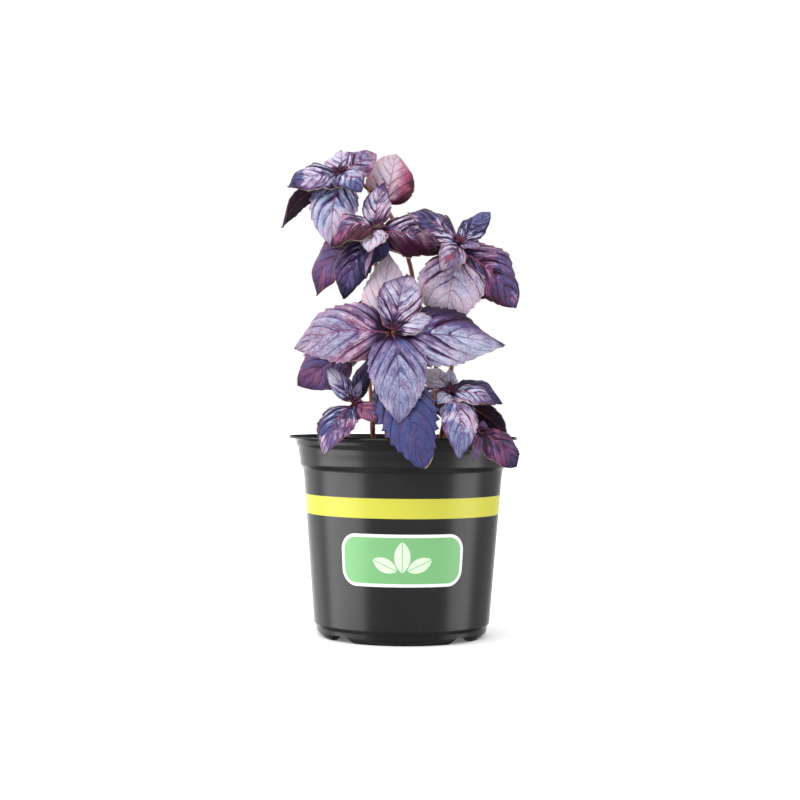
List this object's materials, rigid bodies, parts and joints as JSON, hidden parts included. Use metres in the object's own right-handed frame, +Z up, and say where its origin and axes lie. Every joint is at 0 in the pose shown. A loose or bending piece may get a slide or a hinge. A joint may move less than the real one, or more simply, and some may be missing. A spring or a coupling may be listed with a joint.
{
  "type": "potted basil plant",
  "caption": "Round black nursery pot with a stepped collar and flat lip, filled with soil that holds a clump of upright stems with whorls of broad, toothed, purple leaves.",
  "frame": {"origin": "on the ground under the middle of the pot, the bottom centre of the whole object's box", "axes": "+Z up along the pot's axis, -Y towards the side that the picture shows, +X to its right"},
  "size_m": [0.1196, 0.1288, 0.2424],
  "materials": {
    "pot_plastic": "satin",
    "potting_soil": "matte",
    "purple_leaf": "satin"
  },
  "bodies": {
    "root": {"pot": "pot_plastic", "soil": "potting_soil", "stem_high_left": "purple_leaf", "stem_mid_left": "purple_leaf", "stem_mid_right": "purple_leaf", "stem_front": "purple_leaf", "stem_low_left": "purple_leaf", "stem_low_right": "purple_leaf", "stem_rim_right": "purple_leaf", "stem_back_high": "purple_leaf", "stem_back_right": "purple_leaf", "stem_back_left": "purple_leaf", "stem_back_low": "purple_leaf"}
  },
  "joints": []
}
